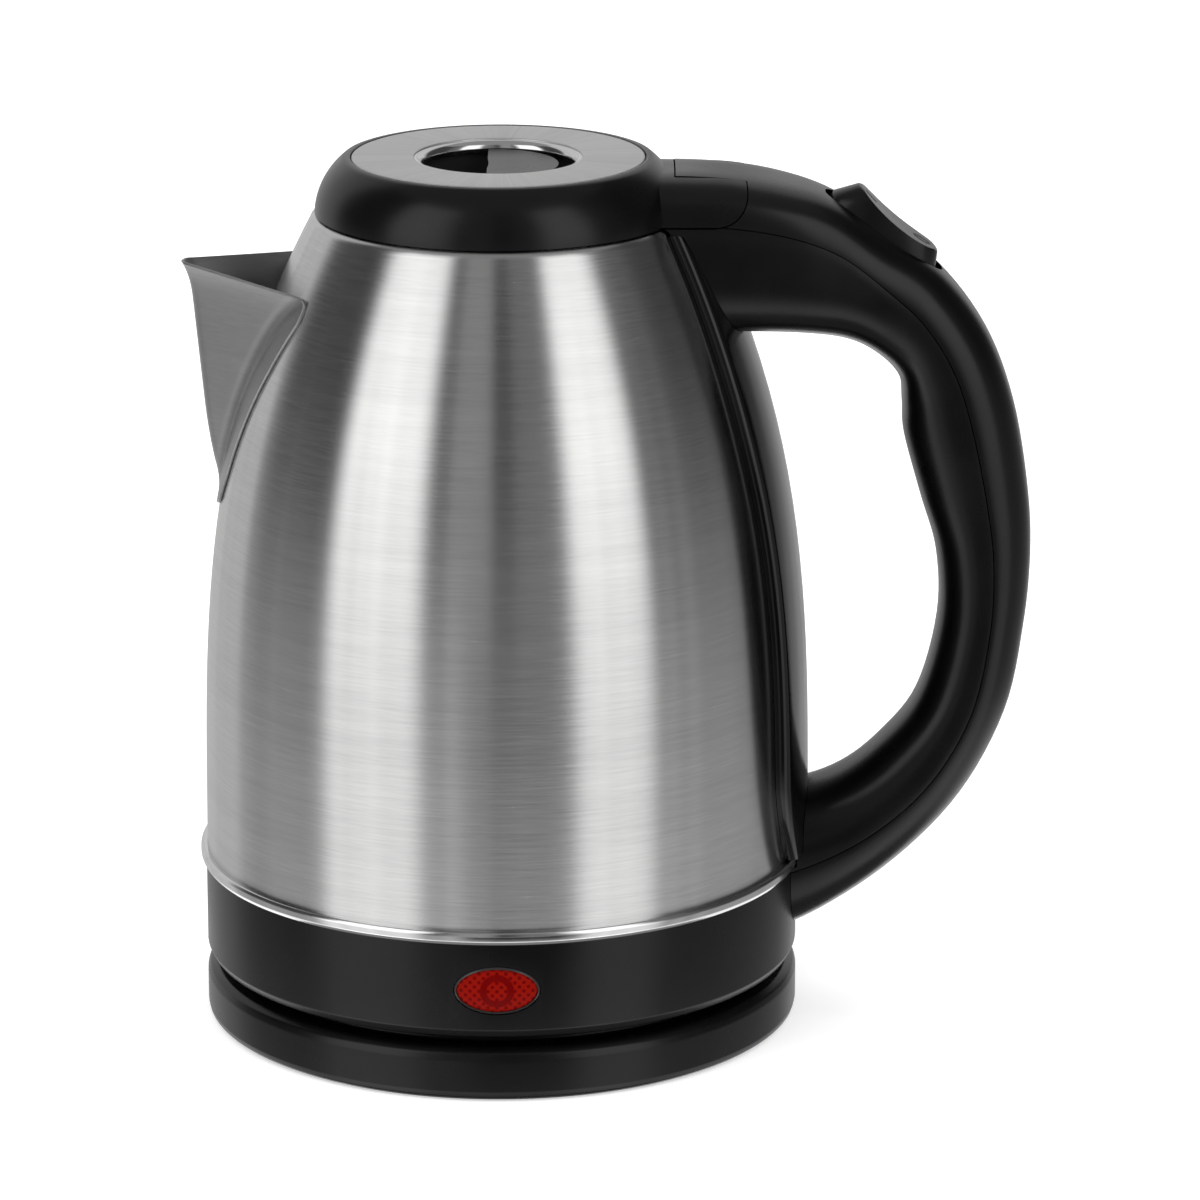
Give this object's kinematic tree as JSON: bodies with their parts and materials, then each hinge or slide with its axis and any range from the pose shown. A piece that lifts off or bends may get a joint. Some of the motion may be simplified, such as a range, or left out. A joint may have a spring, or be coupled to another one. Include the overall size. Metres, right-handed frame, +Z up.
{
  "type": "electric kettle",
  "caption": "Cordless electric kettle: tapered brushed steel jug with V spout, hinged lid with pull latch, loop handle with rocker switch, on a round power base it turns on.",
  "frame": {"origin": "centre of the power base's underside, on the kettle's axis, at the plane it stands on", "axes": "+Z up along the kettle's axis, +X towards the handle, -X towards the spout, -Y towards the indicator"},
  "size_m": [0.2195, 0.1589, 0.2285],
  "materials": {
    "black_plastic": "matt moulded",
    "gloss_plastic": "gloss moulded",
    "dark_plastic": "matt moulded",
    "natural_plastic": "moulded",
    "brushed_steel": "brushed",
    "bright_steel": "polished",
    "screw_steel": "zinc plated",
    "aluminium": "cast",
    "brass": "bright",
    "bimetal": "satin",
    "red_lens": "clear tinted",
    "lamp_glass": "clear",
    "silicone": "matt",
    "rubber": "matt"
  },
  "bodies": {
    "base": {"base_shell": "black_plastic", "base_plate": "dark_plastic", "base_pads": "rubber", "base_screws": "screw_steel", "base_post": "black_plastic", "base_contacts": "brass", "cord_gland": "rubber"},
    "socket": {"socket_cup": "dark_plastic", "socket_contacts": "brass"},
    "kettle": {"body_shell": "brushed_steel", "spout": "brushed_steel", "heater_plate": "bright_steel", "diffuser": "aluminium", "heating_element": "aluminium", "trim_ring": "bright_steel", "skirt": "black_plastic", "bottom_cover": "dark_plastic", "cover_screws": "screw_steel", "thermostat": "natural_plastic", "bimetal_discs": "bimetal", "lens": "red_lens", "lens_rim": "dark_plastic", "lamp": "lamp_glass", "collar": "dark_plastic", "saddle": "gloss_plastic", "handle_cover": "black_plastic", "handle_inner": "black_plastic", "handle_screws": "screw_steel", "knuckle": "black_plastic", "hinge_pin": "bright_steel", "steam_switch": "natural_plastic", "steam_disc": "bimetal", "steam_duct": "silicone"},
    "lid": {"lid_cover": "black_plastic", "lid_disc": "brushed_steel", "lid_rim": "bright_steel", "lid_well": "dark_plastic", "lid_plug": "dark_plastic", "lid_seal": "silicone", "lid_screws": "screw_steel", "latch_spring": "screw_steel"},
    "latch": {"latch_pad": "black_plastic", "latch_slide": "natural_plastic"},
    "switch": {"rocker": "gloss_plastic"}
  },
  "joints": [
    {"name": "base_to_socket", "type": "slide", "parent": "base", "child": "socket", "axis": [0, 0, 1], "range_m": [0, 0.08]},
    {"name": "socket_to_kettle", "type": "hinge", "parent": "socket", "child": "kettle", "pos_m": [0, 0, 0.02], "axis": [0, 0, 1], "continuous": true},
    {"name": "lid_hinge", "type": "hinge", "parent": "kettle", "child": "lid", "pos_m": [0.0554, 0, 0.2223], "axis": [0, 1, 0], "range_deg": [0, 85]},
    {"name": "lid_latch", "type": "slide", "parent": "lid", "child": "latch", "axis": [1, 0, 0], "range_m": [0, 0.0035], "stiffness_N_per_m": 300, "springref_m": -0.003, "deforming": ["latch_spring"]},
    {"name": "rocker_tilt", "type": "hinge", "parent": "kettle", "child": "switch", "pos_m": [0.09438, 0, 0.20297], "axis": [0, 1, 0], "range_deg": [-10, 0]}
  ]
}
